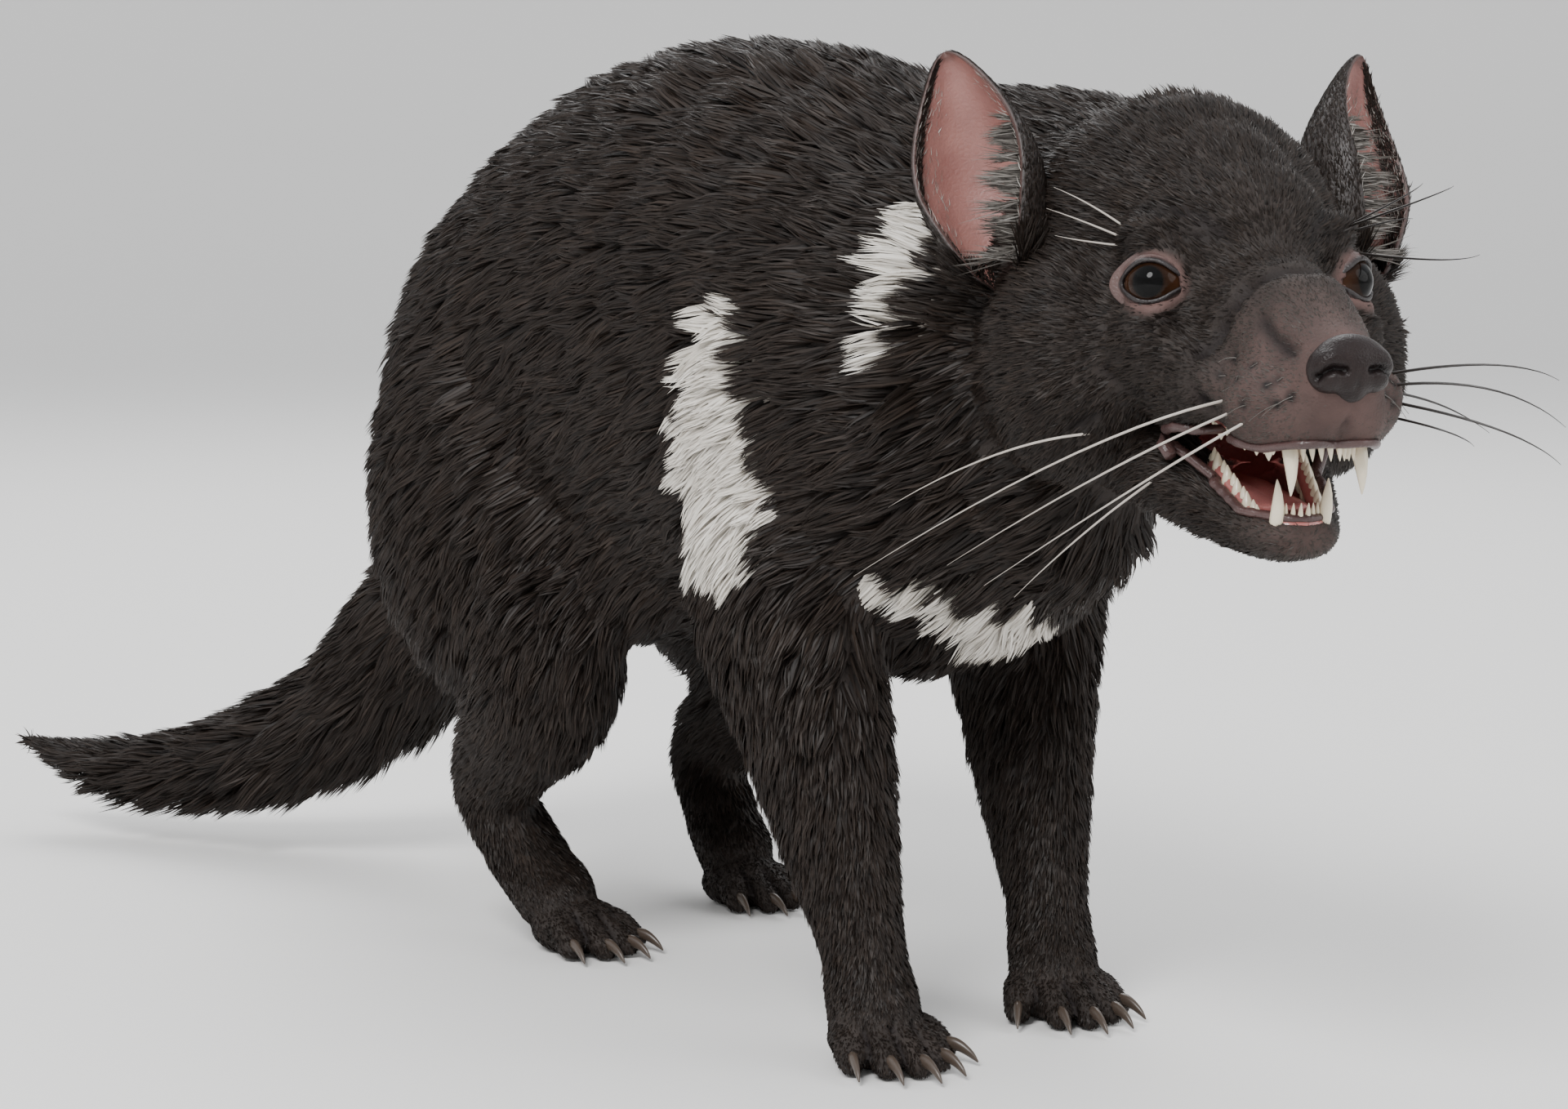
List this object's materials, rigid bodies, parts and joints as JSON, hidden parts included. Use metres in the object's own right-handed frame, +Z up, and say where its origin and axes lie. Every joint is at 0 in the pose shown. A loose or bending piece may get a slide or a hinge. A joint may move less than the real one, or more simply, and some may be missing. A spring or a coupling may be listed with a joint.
{
  "type": "tasmanian devil model",
  "caption": "Life-size Tasmanian devil standing with an arched back, its head turned and its mouth open.",
  "frame": {"origin": "middle of the bottom of the model's box, on the floor that the paws stand on", "axes": "+X from the tail towards the head, +Y towards the animal's left, +Z up"},
  "size_m": [0.7306, 0.2056, 0.3218],
  "materials": {
    "coat": "coarse black fur",
    "bare_skin": "thin pinkish skin",
    "eye": "glossy dark brown",
    "nose_skin": "moist dark skin",
    "tongue": "moist pink"
  },
  "bodies": {
    "root": {"head": "coat", "jaw": "coat", "neck": "coat", "torso": "coat", "tail_base": "coat", "tail_middle": "coat", "tail_tip": "coat", "upper_arm_right": "coat", "upper_arm_left": "coat", "forearm_right": "coat", "forearm_left": "coat", "forepaw_right": "coat", "forepaw_left": "coat", "thigh_right": "coat", "thigh_left": "coat", "shin_right": "coat", "shin_left": "coat", "hindpaw_right": "coat", "hindpaw_left": "coat", "ear_right": "bare_skin", "ear_left": "bare_skin", "eye_right": "eye", "eye_left": "eye", "nose": "nose_skin", "tongue": "tongue"}
  },
  "joints": []
}
